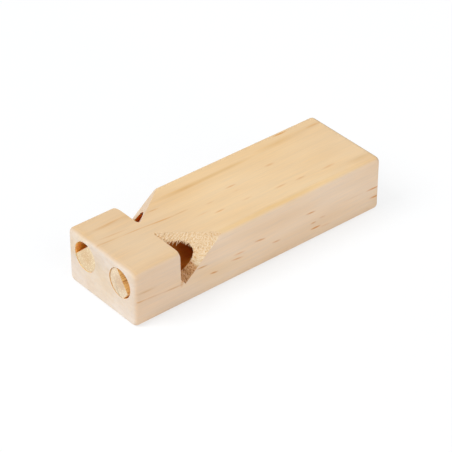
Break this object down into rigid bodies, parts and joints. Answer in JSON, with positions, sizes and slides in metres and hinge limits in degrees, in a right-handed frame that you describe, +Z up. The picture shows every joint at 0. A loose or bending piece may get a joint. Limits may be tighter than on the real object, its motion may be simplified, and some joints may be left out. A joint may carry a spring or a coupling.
{
  "type": "whistle",
  "caption": "Plain pine block whistle with drilled pipes side by side, flat-sided dowel plugs at the mouth and a ramped window across each upper edge; blown to sound a chord.",
  "frame": {"origin": "middle of the bottom face, on which the whistle lies", "axes": "+X along the block from the mouth to the stopped end, +Y towards the left pipe, +Z up"},
  "size_m": [0.1, 0.0334, 0.0199],
  "materials": {
    "pine_block": "bare pine, planed and sanded, with torn end grain on the ramps",
    "dowel_plug": "bare dowel, sawn end grain"
  },
  "bodies": {
    "root": {"block": "pine_block", "left_plug": "dowel_plug", "right_plug": "dowel_plug"}
  },
  "joints": []
}
